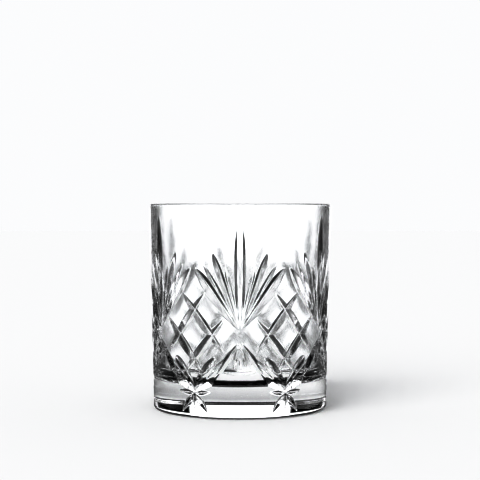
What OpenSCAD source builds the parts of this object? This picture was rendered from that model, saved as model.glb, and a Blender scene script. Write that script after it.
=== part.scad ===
// Pressed-glass whiskey tumbler, one piece. Millimetres, +Z up, resting face on z = 0,
// origin on the axis. A fan of cuts faces -Y.

/* [Body] */
// Height from the resting face to the top of the rim
height = 94; // [90:1:100]
// Outer diameter at the rim
rim_d = 84; // [82:0.5:88]
// Outer diameter of the tapered wall where it meets the table plane
base_d = 79.6; // [77:0.1:82]
// Radius of the outer bottom edge
foot_round = 1.2; // [0.8:0.1:3]

/* [Cavity] */
// Wall thickness just under the lip
rim_wall = 3.2; // [2.8:0.1:4]
// Radius of both edges of the lip
lip_round = 0.9; // [0.5:0.1:1.2]
// Draft of the inner wall from vertical, in degrees
cavity_draft = 2.6; // [2:0.1:3]
// Glass between the table plane and the inner floor
base_thick = 13.2; // [11:0.1:16]
// Radius between the inner wall and the inner floor
floor_round = 8; // [4:0.5:9]
// Depth of the dished underside
dish_depth = 0.6; // [0.3:0.1:1]
// Width of the flat foot ring
foot_ring = 7; // [5:0.5:10]

/* [Cut pattern] */
// Height of the point that each fan of cuts springs from
fan_z = 38.7; // [37:0.1:40]
// Height of the tip of the middle cut of each fan
fan_top_z = 86; // [78:0.5:87]
// Height of the centre of each small star near the foot
star_z = 11; // [10:0.5:12]
// Depth of the long bordering cuts
border_depth = 1.6; // [1:0.1:1.7]
// Depth of the crossing cuts of the diamond lattice
lattice_depth = 1.4; // [0.8:0.1:1.5]
// Depth of the fan cuts and the rays of the stars
blade_depth = 1.3; // [0.8:0.1:1.4]
// Depth of the two broad petals over each star
petal_depth = 1.9; // [1.4:0.1:2.2]
// Depth of the three small leaves under each fan
hanging_depth = 0.8; // [0.5:0.1:1]
// Slope of the crossing cuts from horizontal, in degrees
lattice_slope = 51; // [48:1:54]

/* [Hidden] */
$fn = 96;
repeats = 6;
pitch = 360 / repeats;
lean = atan((rim_d - base_d) / 2 / height);
clear = 3;

// Outer radius of the tapered wall at height z.
function wall_r(z) = base_d / 2 + z * tan(lean);

// Angle round the axis that an arc of the given length covers at height z.
function arc_angle(arc, z) = arc / wall_r(z) * 180 / PI;

lip_z = height - lip_round;
lip_out = wall_r(lip_z) - lip_round / cos(lean);
lip_in = wall_r(lip_z) - rim_wall + lip_round / cos(cavity_draft);
foot_x = wall_r(foot_round) - foot_round / cos(lean);
floor_z = base_thick + floor_round;
inner_r = wall_r(lip_z) - rim_wall - (lip_z - floor_z) * tan(cavity_draft);
floor_x = inner_r - floor_round / cos(cavity_draft);
dish_r = foot_x - foot_ring;
arc_steps = 12;

// Points of an arc about [x, z], from angle a to angle b.
function arc(x, z, r, a, b) = [
    for (i = [0 : arc_steps])
        [x + r * cos(a + (b - a) * i / arc_steps), z + r * sin(a + (b - a) * i / arc_steps)]
];

// Half of the glass section, from the axis outward.
module section() {
    polygon(concat(
        [[0, dish_depth], [dish_r - 2 * dish_depth, dish_depth], [dish_r, 0]],
        arc(foot_x, foot_round, foot_round, -90, -lean),
        arc(lip_out, lip_z, lip_round, -lean, 90),
        arc(lip_in, lip_z, lip_round, 90, 180 - cavity_draft),
        arc(floor_x, floor_z, floor_round, -cavity_draft, -90),
        [[0, base_thick]]
    ));
}

// Long V-shaped bar along X. Its root edge lies depth under the XY plane at x = 0 and climbs by
// rise degrees toward +X. It is half_w wide to each side where it meets the plane.
module v_bar(long, depth, half_w, rise) {
    top_w = half_w * (depth + clear) / depth;
    translate([0, 0, -depth])
        rotate([90 - rise, 0, 90])
            linear_extrude(height = long, center = true)
                polygon([[0, 0], [top_w, depth + clear], [-top_w, depth + clear]]);
}

// Puts a cutter made on the XY plane onto the wall, with its X axis turned up by slope degrees.
module on_wall(angle, z, slope) {
    rotate([0, 0, angle])
        translate([0, -wall_r(z), z])
            rotate([90 + lean, 0, 0])
                rotate([0, 0, slope])
                    children();
}

// Even groove that runs out by itself where the wall curves away from it.
module groove(angle, z, slope, long, depth, half_w) {
    on_wall(angle, z, slope)
        translate([0, 0, -depth])
            rotate([90, 0, 90])
                linear_extrude(height = long, center = true)
                    polygon([
                        [0, 0],
                        [half_w * (depth + clear) / depth, depth + clear],
                        [-half_w * (depth + clear) / depth, depth + clear]
                    ]);
}

// Leaf-shaped cut, deepest at its centre and sharp at both ends: ahead is the distance to its
// upper tip and behind the distance to its lower one.
module leaf(angle, z, slope, ahead, behind, depth, half_w) {
    on_wall(angle, z, slope)
        intersection() {
            v_bar(2.6 * (ahead + behind), depth, half_w, atan(depth / ahead));
            v_bar(2.6 * (ahead + behind), depth, half_w, -atan(depth / behind));
        }
}

// Length that a leaf needs so that, with the wall curving away under it, it runs out at the given
// length. tilt is its angle from upright.
function reach(long, tilt, depth) =
    long / max(0.1, 1 - pow(long * sin(tilt), 2) / (rim_d * depth));

// Leaf that springs from the foot of a fan, tilt degrees from upright.
module blade(tilt, long, half_w) {
    mid = 0.58 * long;
    mid_z = fan_z + mid * cos(tilt);
    ahead = reach(long - mid, tilt, blade_depth);
    behind = reach(mid, tilt, blade_depth);
    leaf(arc_angle(mid * sin(tilt), mid_z), mid_z, 90 - tilt, ahead, behind, blade_depth, half_w);
}

// Cuts on the right of one fan axis, up to the next star axis.
module half_pattern() {
    blade(10.5, 31, 1.2);
    blade(20.5, 37, 1.8);
    blade(30.5, 33, 1.2);
    // Border between the fan and the lattice
    groove(14.2, 51.7, 50, 40, border_depth, 2.6);
    // Broad petal from the star towards the foot of the fan
    leaf(21.9, 16.8, 135, reach(16.5, 45, petal_depth), 11, petal_depth, 3.7);
    // Slim petal above it, up to the axis of the fan
    leaf(9.2, 25, 125, reach(10.6, 35, border_depth), reach(11, 35, border_depth), border_depth, 1.6);
    // Small leaf hanging under the foot of the fan
    leaf(2.7, 27, 282, 5, 7, hanging_depth, 1);
    // Rays of the star
    leaf(24.8, star_z, 180, 6, 4, blade_depth, 1.1);
    leaf(26, star_z - 4.2, 232, 7, 5, blade_depth, 1.1);
}

// Crossing cuts of one lattice, centred on a star axis.
module lattice() {
    for (side = [0, 1])
        mirror([side, 0, 0]) {
            groove(-6, 42, lattice_slope, 44, lattice_depth, 1.9);
            groove(6.8, 32, lattice_slope, 44, lattice_depth, 1.9);
        }
}

module cuts() {
    mid_z = fan_z + 0.6 * (fan_top_z - fan_z);
    for (i = [0 : repeats - 1]) {
        rotate([0, 0, i * pitch]) {
            leaf(0, mid_z, 90, fan_top_z - mid_z, mid_z - fan_z, blade_depth, 2.5);
            leaf(0, 28.2, 270, 5, 5.4, hanging_depth, 0.9);
            for (side = [0, 1])
                mirror([side, 0, 0])
                    half_pattern();
        }
        rotate([0, 0, (i + 0.5) * pitch]) {
            lattice();
            leaf(0, star_z - 4, 270, 5, 4, blade_depth, 1);
        }
    }
}

module glass_body() {
    color([0.93, 0.96, 0.97, 0.35])
        difference() {
            rotate_extrude()
                section();
            cuts();
        }
}

glass_body();
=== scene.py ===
import math

import bpy
import numpy as np
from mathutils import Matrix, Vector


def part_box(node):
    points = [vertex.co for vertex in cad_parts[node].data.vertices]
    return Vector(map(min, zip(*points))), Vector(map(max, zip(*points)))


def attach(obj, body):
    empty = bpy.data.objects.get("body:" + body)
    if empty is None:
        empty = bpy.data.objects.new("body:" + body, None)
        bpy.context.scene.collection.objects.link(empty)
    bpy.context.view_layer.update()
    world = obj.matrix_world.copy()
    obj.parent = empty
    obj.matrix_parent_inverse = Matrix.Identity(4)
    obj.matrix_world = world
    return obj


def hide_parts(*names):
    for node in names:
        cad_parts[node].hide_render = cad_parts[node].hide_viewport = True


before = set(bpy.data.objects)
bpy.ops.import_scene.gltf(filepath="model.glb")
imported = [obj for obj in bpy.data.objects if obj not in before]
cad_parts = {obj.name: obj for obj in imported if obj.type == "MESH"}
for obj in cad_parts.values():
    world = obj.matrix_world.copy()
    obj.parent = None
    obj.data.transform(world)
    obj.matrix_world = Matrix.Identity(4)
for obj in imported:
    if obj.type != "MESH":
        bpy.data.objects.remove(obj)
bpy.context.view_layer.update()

MM = 0.001

# The glass, in millimetres. Its height and rim come from the CAD's box, and the visual stays INSET
# inside that box. TAPER is how much smaller the radius of the base is than that of the rim, and
# DISH_POWER says how flat the middle of the dished underside is.
low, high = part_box("glass_body")
INSET = 0.02
HEIGHT = (high[2] - low[2]) / MM
RIM_R = min(high[0] - low[0], high[1] - low[1]) / 2 / MM - INSET
TAPER = 2.2
BASE_R = RIM_R - TAPER
LEAN = math.atan((RIM_R - BASE_R) / HEIGHT)
FOOT_ROUND = 1.2
RIM_WALL = 3.2
LIP_ROUND = 0.9
DRAFT = math.radians(2.6)
BASE_THICK = 13.2
FLOOR_ROUND = 8.0
DISH_DEPTH = 0.6
DISH_POWER = 6
FOOT_RING = 7.0
# How far the inner wall swells and sinks, as pressed glass does, and the heights over which that
# fades under the lip and over the floor
SWELL = 0.03
SWELL_FADE = (8, 4)

# The cut pattern
REPEATS = 6
PITCH = 360 / REPEATS
MM_PER_DEG = math.radians(1) * (RIM_R + BASE_R) / 2
# Widths over which the ridge between two cuts and the brink of a cut on the wall are rounded
RIDGE = 0.12
BRINK = 0.10
# Bluntness of the bed of a sharp cut, in squared half widths
BLUNT = 0.01
# Depth where there is no cut, and how many half lengths out of its middle a cut is followed
NO_CUT = -0.6
FAR_OUT = 3

# Mesh: columns in half a repeat, and height of one row of the outer wall
HALF_STEPS = 84
ROW = 0.27
FOOT_STEPS = 14
LIP_STEPS = 10
INNER_STEPS = 90
FLOOR_STEPS = 20

# Glass: FACING is how much of the weak mirror image on its surface is kept, and INNER_ROUGH is the
# roughness of the inner wall. The rest is smooth but for a fine ripple, RIPPLE_DEEP metres deep.
TINT = (0.996, 0.998, 1.0, 1)
IOR = 1.52
FACING = (0.1, 0.1, 0.1, 1)
INNER_ROUGH = 0.18
RIPPLE_SCALE = 90
RIPPLE = 0.05
RIPPLE_DEEP = 0.0004

# Floor, in metres. It is grey at first sight, and to light that was mirrored inside the glass it carries
# painted shade, nearly black.
# Light bent by the glass meets it out to NEAR_FLOOR and finds the studio beyond.
FLOOR_HALF = 4
FLOOR_DROP = 0.0002
FLOOR_GREY = 0.82
# Painted shade: the floor's near-black colour for light mirrored inside the glass
FLOOR_PAINTED_SHADE = 0.024
NEAR_FLOOR = (0.1, 0.2)
# Glow of the floor under the glass, and the radii over which it fades
UNDER = 0.6
UNDER_FADE = (0.040, 0.060)

# Studio, as light bent by the glass meets it. LEVELS is its brightness by degrees above the horizon.
LEVELS = [
    (-90, 0.9),
    (-12, 0.75),
    (-5, 1),
    (4, 1),
    (4.5, 0),
    (40, 0),
    (45, 1),
    (60, 1),
    (65, 0),
    (90, 0),
]
# Dark bands stand between SIDES bright directions: where the cosine of SIDES times the azimuth is
# under BAND. They reach from BAND_FOOT up to BAND_HEAD, in degrees, and for light that has crossed
# only one wall their foot is ONE_WALL degrees higher.
SIDES = 4
BAND = (0.2, 0.3)
BAND_FOOT = (-12.5, -11)
BAND_HEAD = (14, 16)
ONE_WALL = 4
# Light mirrored inside the glass meets narrower bands and no LEVELS, and fades to MIRRORED where it
# is more than STEEP degrees off the horizon
MIRROR_SHIFT = 0.4
MIRRORED = 0.03
STEEP = (30, 40)
# Colour of the studio, its strength to the glass and its strength to the floor
STUDIO = (0.965, 0.97, 0.98, 1)
LIFT = 1.42
FILL = 0.70

# Sun: its strength, its turn about X and Y, and its softness, in degrees
KEY = 2.55
KEY_FROM = (46, -31)
KEY_SOFT = 54

# Camera, in metres and degrees
LENS = 100.5
SENSOR = 36
CAMERA_AT = (0, -0.62, 0.094)
CAMERA_DOWN = 1.556
# Tone curve, as (in, out)
CURVE = [(0.45, 0.21), (0.9, 0.90)]

# Each cut: its two tips as (degrees from the fan's axis, height), its width and depth, where along
# it is widest, whether its bed is sharp or round, and whether its sides are straight or bowed.
FAN_Z = 38.7
SHARP, ROUND = 1, 2
STRAIGHT, BOWED = 1, 2
CUTS = [
    # fan
    ((0, 37.5), (0, 88), 5.0, 1.5, 0.6, ROUND, BOWED),
    ((0, FAN_Z), (9.5, 67), 2.5, 0.9, 0.66, SHARP, BOWED),
    ((0, FAN_Z), (17.2, 73), 3.0, 2.2, 0.75, SHARP, BOWED),
    ((0, FAN_Z), (23, 68), 2.6, 1.0, 0.66, SHARP, BOWED),
    ((-1, 37.5), (28.8, 66.5), 5.2, 2.0, 0.64, SHARP, BOWED),
    # lattice
    ((9.5, 28.5), (38.8, 55.8), 4.0, 1.8, 0.5, SHARP, BOWED),
    ((22.5, 19.5), (51, 44.5), 4.0, 1.8, 0.5, SHARP, BOWED),
    # petals over the star
    ((30.5, 10.6), (5.2, 28.9), 7.4, 2.2, 0.34, SHARP, STRAIGHT),
    ((18.0, 16), (0.4, 34), 3.0, 1.7, 0.5, SHARP, BOWED),
    ((30.5, 11), (15.8, 26.8), 5.2, 2.0, 0.6, ROUND, BOWED),
    # small leaves under the fan
    ((0.6, 33.5), (4.0, 22.5), 2.0, 0.9, 0.6, SHARP, BOWED),
    ((0, 34), (0, 23), 1.8, 0.7, 0.5, SHARP, BOWED),
    # star
    ((30.8, 11), (17.5, 11.6), 2.4, 1.4, 0.4, SHARP, STRAIGHT),
    ((30.6, 11.6), (20, 2.2), 2.7, 1.7, 0.5, SHARP, STRAIGHT),
    ((30.2, 11.4), (25, 4.2), 2.0, 1.1, 0.5, SHARP, STRAIGHT),
    ((30, 12), (30, 2.6), 2.1, 1.4, 0.5, SHARP, STRAIGHT),
]


def wall_r(z):
    """Outer radius of the uncut wall at height z."""
    return BASE_R + z * math.tan(LEAN)


def soft_max(a, b, r):
    """The larger of a and b, rounded over a width of about r where they cross."""
    h = np.maximum(r - np.abs(a - b), 0) / r
    return np.maximum(a, b) + h * h * r / 4


def one_cut(x, z, start, end, shape):
    """Depth of one cut at points x, z of the unrolled wall. It falls below 0 outside the cut."""
    width, deep, widest, bed, sides = shape
    (x0, z0), (x1, z1) = start, end
    long = math.hypot(x1 - x0, z1 - z0)
    ux, uz = (x1 - x0) / long, (z1 - z0) / long
    along = ((x - x0) * ux + (z - z0) * uz) / long
    across = np.abs((x - x0) * uz - (z - z0) * ux) / (width / 2)
    lower, upper = (along - widest) / widest, (along - widest) / (1 - widest)
    off_middle = np.minimum(np.abs(np.where(along < widest, lower, upper)), FAR_OUT)
    if bed == SHARP:
        across = np.sqrt(across**2 + BLUNT)
    return deep * (1 - off_middle**sides - across**bed)


def cut_depth(deg, z):
    """Depth of the pattern in millimetres at each point of a half repeat."""
    x = deg * MM_PER_DEG
    depth = np.full(x.shape, NO_CUT)
    for (a0, z0), (a1, z1), *shape in CUTS:
        on_axis = a0 == a1 and a0 in (0, PITCH / 2)
        for side in (1,) if on_axis else (1, -1):
            for turn in (0, PITCH):
                start = (side * a0 + turn) * MM_PER_DEG, z0
                end = (side * a1 + turn) * MM_PER_DEG, z1
                depth = soft_max(depth, one_cut(x, z, start, end, shape), RIDGE)
    return soft_max(depth, np.zeros(x.shape), BRINK)


def arc(x, z, r, a, b, steps):
    """Points of an arc about x, z from angle a to angle b, in degrees."""
    turns = [math.radians(a + (b - a) * i / steps) for i in range(steps + 1)]
    return [(x + r * math.cos(t), z + r * math.sin(t)) for t in turns]


def between(a, b, steps):
    """Points between a and b, without the two ends."""
    return [
        (a[0] + (b[0] - a[0]) * i / steps, a[1] + (b[1] - a[1]) * i / steps) for i in range(1, steps)
    ]


def glass_section():
    """Stretches of the half section, from the underside round the outside and the lip to the floor."""
    lean, draft = math.degrees(LEAN), math.degrees(DRAFT)
    foot_x = wall_r(FOOT_ROUND) - FOOT_ROUND / math.cos(LEAN)
    lip_z = HEIGHT - LIP_ROUND
    lip_out = wall_r(lip_z) - LIP_ROUND / math.cos(LEAN)
    lip_in = wall_r(lip_z) - RIM_WALL + LIP_ROUND / math.cos(DRAFT)
    floor_z = BASE_THICK + FLOOR_ROUND
    inner_r = wall_r(lip_z) - RIM_WALL - (lip_z - floor_z) * math.tan(DRAFT)
    floor_x = inner_r - FLOOR_ROUND / math.cos(DRAFT)
    dish_r = foot_x - FOOT_RING

    dish_at = (0.2, 0.4, 0.6, 0.75, 0.85, 0.92, 0.96, 1)
    dish = [(dish_r * t, DISH_DEPTH * (1 - t**DISH_POWER)) for t in dish_at]
    ring = [(dish_r + (foot_x - dish_r) * t, 0.0) for t in (0.25, 0.5, 0.75)]
    foot = arc(foot_x, FOOT_ROUND, FOOT_ROUND, -90, -lean, FOOT_STEPS)
    lip = arc(lip_out, lip_z, LIP_ROUND, -lean, 90, LIP_STEPS)
    wall_from, wall_to = foot[-1][1], lip[0][1]
    rows = int((wall_to - wall_from) / ROW)
    wall_z = [wall_from + (wall_to - wall_from) * i / rows for i in range(1, rows)]
    wall = [(wall_r(z), z) for z in wall_z]
    lip += between((lip_out, HEIGHT), (lip_in, HEIGHT), 3)
    lip += arc(lip_in, lip_z, LIP_ROUND, 90, 180 - draft, LIP_STEPS)
    corner = arc(floor_x, floor_z, FLOOR_ROUND, -draft, -90, FLOOR_STEPS)
    inner = between(lip[-1], corner[0], INNER_STEPS)
    floor = [(floor_x * t, BASE_THICK) for t in (0.9, 0.7, 0.5, 0.3, 0.15)]
    return {
        "underside": dish + ring,
        "outside": foot + wall,
        "lip": lip,
        "inner wall": inner,
        "floor corner": corner,
        "floor": floor,
    }


def swelling(t, z):
    """Slow waves of the inner wall at angle t and height z, which fade towards the lip and the floor."""
    broad = np.sin(9 * t + 0.13 * z + 1.1) * np.sin(0.31 * z + 2 * np.sin(3 * t) + 0.4)
    middle = np.sin(14 * t - 0.21 * z + 2.0) * np.sin(0.47 * z - 1.5 * np.sin(4 * t + 1) + 1.9)
    fine = np.sin(21 * t + 0.37 * z) * np.sin(0.62 * z + np.sin(5 * t) + 3.1)
    under_lip = np.clip((HEIGHT - LIP_ROUND - z) / SWELL_FADE[0], 0, 1)
    over_floor = np.clip((z - BASE_THICK) / SWELL_FADE[1], 0, 1)
    return (broad + 0.7 * middle + 0.5 * fine) * under_lip * over_floor


def glass_mesh():
    """Mesh of the whole glass, and for each of its faces whether it is on the inner wall."""
    stretches = glass_section()
    name_of_row = np.concatenate([[name] * len(points) for name, points in stretches.items()])
    section = np.array([point for points in stretches.values() for point in points])
    rows, columns = len(section), REPEATS * 2 * HALF_STEPS

    # The pattern is worked out for half a repeat, then mirrored and repeated
    outside = name_of_row == "outside"
    deg = np.arange(HALF_STEPS + 1) * PITCH / 2 / HALF_STEPS
    deg, z = np.meshgrid(deg, section[outside, 1])
    fade = np.sqrt(np.clip(z / FOOT_ROUND, 0, 1))
    cut = np.zeros((rows, HALF_STEPS + 1))
    cut[outside] = cut_depth(deg, z) * fade
    step = np.arange(columns) % (2 * HALF_STEPS)
    radius = section[:, 0][:, None] - cut[:, np.minimum(step, 2 * HALF_STEPS - step)]

    theta = np.arange(columns) * 2 * math.pi / columns
    wavy = np.isin(name_of_row, ("inner wall", "floor corner"))[:, None]
    radius = radius + SWELL * swelling(theta[None, :], section[:, 1][:, None]) * wavy
    height = np.repeat(section[:, 1][:, None], columns, axis=1)
    co = np.stack([radius * np.sin(theta), -radius * np.cos(theta), height], axis=-1).reshape(-1, 3)
    co = np.concatenate([co, [[0, 0, DISH_DEPTH], [0, 0, BASE_THICK]]]) * MM

    # Quads between rows, and a fan of triangles round the middle of the underside and of the floor
    row = np.arange(rows - 1)[:, None] * columns
    j = np.arange(columns)
    k = (j + 1) % columns
    quads = np.stack([row + j, row + k, row + columns + k, row + columns + j], axis=-1).reshape(-1, 4)
    last = (rows - 1) * columns
    under_hub = np.full(columns, rows * columns)
    under_fan = np.stack([k, j, under_hub], axis=-1)
    floor_fan = np.stack([last + j, last + k, under_hub + 1], axis=-1)
    fans = np.concatenate([under_fan, floor_fan])
    loops = np.concatenate([quads.ravel(), fans.ravel()])
    starts = np.concatenate([np.arange(len(quads)) * 4, len(quads) * 4 + np.arange(len(fans)) * 3])

    me = bpy.data.meshes.new("glass_body_visual")
    me.vertices.add(len(co))
    me.vertices.foreach_set("co", co.astype(np.float32).ravel())
    me.loops.add(len(loops))
    me.loops.foreach_set("vertex_index", loops.astype(np.int32))
    me.polygons.add(len(starts))
    me.polygons.foreach_set("loop_start", starts.astype(np.int32))
    me.update(calc_edges=True)
    me.validate()
    me.polygons.foreach_set("use_smooth", np.ones(len(me.polygons), bool))
    inner_quads = name_of_row[1:] == "inner wall"
    return me, np.concatenate([np.repeat(inner_quads, columns), np.zeros(len(fans), bool)])


def node(tree, kind, **values):
    """A new node, with its own properties set."""
    n = tree.nodes.new(kind)
    for name, value in values.items():
        setattr(n, name, value)
    return n


def feed(tree, socket, value):
    """Links an output to an input, or sets the input to a number or colour."""
    if isinstance(value, bpy.types.NodeSocket):
        tree.links.new(value, socket)
    else:
        socket.default_value = value


def maths(tree, operation, *values):
    """Output of a maths node that is fed the values in order."""
    n = node(tree, "ShaderNodeMath", operation=operation)
    for socket, value in zip(n.inputs, values):
        feed(tree, socket, value)
    return n.outputs[0]


def spread(tree, value, ends, to=(0.0, 1.0)):
    """Eased step: to[0] where value is under ends[0], to[1] where it is over ends[1]."""
    n = node(tree, "ShaderNodeMapRange", interpolation_type="SMOOTHSTEP")
    feed(tree, n.inputs["Value"], value)
    n.inputs["From Min"].default_value, n.inputs["From Max"].default_value = ends
    n.inputs["To Min"].default_value, n.inputs["To Max"].default_value = to
    return n.outputs[0]


def choose(tree, test, no, yes):
    """The colour no where test is 0, and yes where it is 1."""
    n = node(tree, "ShaderNodeMixRGB")
    for socket, value in zip(n.inputs, (test, no, yes)):
        feed(tree, socket, value)
    return n.outputs[0]


def pressed_glass(name, roughness):
    """Clear glass with a fine ripple."""
    mat = bpy.data.materials.new(name)
    mat.use_nodes = True
    tree = mat.node_tree
    shader = tree.nodes["Principled BSDF"].inputs
    shader["Base Color"].default_value = TINT
    shader["Transmission Weight"].default_value = 1.0
    shader["Roughness"].default_value = roughness
    shader["IOR"].default_value = IOR
    shader["Specular Tint"].default_value = FACING
    ripple = node(tree, "ShaderNodeTexNoise")
    feed(tree, ripple.inputs["Vector"], node(tree, "ShaderNodeTexCoord").outputs["Object"])
    ripple.inputs["Scale"].default_value = RIPPLE_SCALE
    ripple.inputs["Detail"].default_value = 1
    bump = node(tree, "ShaderNodeBump")
    bump.inputs["Strength"].default_value = RIPPLE
    bump.inputs["Distance"].default_value = RIPPLE_DEEP
    feed(tree, bump.inputs["Height"], ripple.outputs["Fac"])
    feed(tree, shader["Normal"], bump.outputs["Normal"])
    return mat


def make_glass():
    me, on_inner_wall = glass_mesh()
    glass = bpy.data.objects.new("glass_body_visual", me)
    bpy.context.scene.collection.objects.link(glass)
    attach(glass, "root")
    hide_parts("glass_body")
    me.materials.append(pressed_glass("pressed_glass", 0.0))
    me.materials.append(pressed_glass("pressed_glass_inside", INNER_ROUGH))
    me.polygons.foreach_set("material_index", on_inner_wall.astype(np.int32))


def make_floor():
    me = bpy.data.meshes.new("floor")
    corners = [(x * FLOOR_HALF, y * FLOOR_HALF, 0) for x, y in ((-1, -1), (1, -1), (1, 1), (-1, 1))]
    me.from_pydata(corners, [], [(0, 1, 2, 3)])
    floor = bpy.data.objects.new("floor", me)
    bpy.context.scene.collection.objects.link(floor)
    floor.location.z = -FLOOR_DROP

    mat = bpy.data.materials.new("floor")
    mat.use_nodes = True
    tree = mat.node_tree
    path = node(tree, "ShaderNodeLightPath").outputs
    away = node(tree, "ShaderNodeVectorMath", operation="LENGTH")
    feed(tree, away.inputs[0], node(tree, "ShaderNodeTexCoord").outputs["Object"])
    away = away.outputs["Value"]
    straight = maths(tree, "MAXIMUM", path["Is Camera Ray"], path["Is Diffuse Ray"])
    bent = maths(tree, "SUBTRACT", 1, straight)
    mirrored = maths(tree, "GREATER_THAN", path["Glossy Depth"], 0.5)
    plain = maths(tree, "LESS_THAN", path["Glossy Depth"], 0.5)

    shader = tree.nodes["Principled BSDF"]
    shader.inputs["Roughness"].default_value = 1.0
    shader.inputs["Specular IOR Level"].default_value = 0.0
    # Painted shade: the floor is grey, but near black where the light was mirrored inside the glass
    grey = choose(tree, mirrored, (FLOOR_GREY,) * 3 + (1,), (FLOOR_PAINTED_SHADE,) * 3 + (1,))
    feed(tree, shader.inputs["Base Color"], grey)
    glow = maths(tree, "MULTIPLY", spread(tree, away, UNDER_FADE, (UNDER, 0.0)), plain)
    shader.inputs["Emission Color"].default_value = (1, 1, 1, 1)
    feed(tree, shader.inputs["Emission Strength"], maths(tree, "MULTIPLY", glow, bent))

    mix = node(tree, "ShaderNodeMixShader")
    open_floor = maths(tree, "MULTIPLY", bent, spread(tree, away, NEAR_FLOOR))
    feed(tree, mix.inputs[0], open_floor)
    feed(tree, mix.inputs[1], shader.outputs[0])
    feed(tree, mix.inputs[2], node(tree, "ShaderNodeBsdfTransparent").outputs[0])
    feed(tree, tree.nodes["Material Output"].inputs["Surface"], mix.outputs[0])
    me.materials.append(mat)


def in_radians(ends):
    return [math.radians(end) for end in ends]


def sky_level(tree, level):
    """Grey of the studio at an angle above the horizon, in radians."""
    ramp = node(tree, "ShaderNodeValToRGB")
    stops = ramp.color_ramp.elements
    for _ in LEVELS[len(stops) :]:
        stops.new(0.5)
    for stop, (at, grey) in zip(stops, LEVELS):
        stop.position = 0.5 + at / 180
        stop.color = (grey, grey, grey, 1)
    feed(tree, ramp.inputs["Fac"], maths(tree, "MULTIPLY_ADD", level, 1 / math.pi, 0.5))
    return ramp.outputs[0]


def make_studio():
    """World: plain for the camera, even for the floor, and a studio with dark parts for the glass."""
    world = bpy.data.worlds.new("studio")
    world.use_nodes = True
    bpy.context.scene.world = world
    tree = world.node_tree
    tree.nodes.clear()
    path = node(tree, "ShaderNodeLightPath").outputs
    way = node(tree, "ShaderNodeSeparateXYZ")
    feed(tree, way.inputs[0], node(tree, "ShaderNodeTexCoord").outputs["Generated"])
    azimuth = maths(tree, "ARCTAN2", way.outputs[0], way.outputs[1])
    level = maths(tree, "ARCSINE", way.outputs[2])
    mirrored = maths(tree, "GREATER_THAN", path["Glossy Depth"], 0.5)
    one_wall = maths(tree, "LESS_THAN", path["Transmission Depth"], 2.5)

    wave = maths(tree, "COSINE", maths(tree, "MULTIPLY", azimuth, SIDES))
    beside_bands = spread(tree, maths(tree, "MULTIPLY_ADD", mirrored, MIRROR_SHIFT, wave), BAND)
    lower = maths(tree, "MULTIPLY_ADD", one_wall, -math.radians(ONE_WALL), level)
    under_bands = spread(tree, lower, in_radians(BAND_FOOT), (1.0, 0.0))
    over_bands = spread(tree, level, in_radians(BAND_HEAD))
    clear = maths(tree, "MAXIMUM", beside_bands, maths(tree, "MAXIMUM", over_bands, under_bands))
    upright = maths(tree, "MAXIMUM", sky_level(tree, level), mirrored)
    studio = maths(tree, "MULTIPLY", maths(tree, "MULTIPLY", clear, upright), LIFT)

    for_floor = choose(tree, path["Is Diffuse Ray"], studio, (FILL, FILL, FILL, 1))
    seen = choose(tree, path["Is Camera Ray"], for_floor, (1, 1, 1, 1))
    off_level = spread(tree, maths(tree, "ABSOLUTE", level), in_radians(STEEP))
    lost = maths(tree, "MULTIPLY", mirrored, off_level)
    dim = maths(tree, "MULTIPLY_ADD", lost, MIRRORED - 1, 1)
    background = node(tree, "ShaderNodeBackground")
    background.inputs["Color"].default_value = STUDIO
    feed(tree, background.inputs["Strength"], maths(tree, "MULTIPLY", seen, dim))
    feed(tree, node(tree, "ShaderNodeOutputWorld").inputs[0], background.outputs[0])


def make_sun():
    light = bpy.data.lights.new("key", "SUN")
    light.energy = KEY
    light.angle = math.radians(KEY_SOFT)
    sun = bpy.data.objects.new("key", light)
    bpy.context.scene.collection.objects.link(sun)
    sun.rotation_euler = (*in_radians(KEY_FROM), 0)


def make_camera():
    data = bpy.data.cameras.new("camera")
    data.lens = LENS
    data.sensor_width = SENSOR
    camera = bpy.data.objects.new("camera", data)
    bpy.context.scene.collection.objects.link(camera)
    camera.location = CAMERA_AT
    camera.rotation_euler = (math.radians(90 - CAMERA_DOWN), 0, 0)
    bpy.context.scene.camera = camera


def set_tone():
    view = bpy.context.scene.view_settings
    view.view_transform = "Standard"
    view.look = "None"
    view.use_curve_mapping = True
    for point in CURVE:
        view.curve_mapping.curves[3].points.new(*point)
    view.curve_mapping.update()


def plain(box):
    return [[float(x) for x in corner] for corner in box]


make_glass()
make_floor()
make_studio()
make_sun()
make_camera()
set_tone()

bpy.context.view_layer.update()
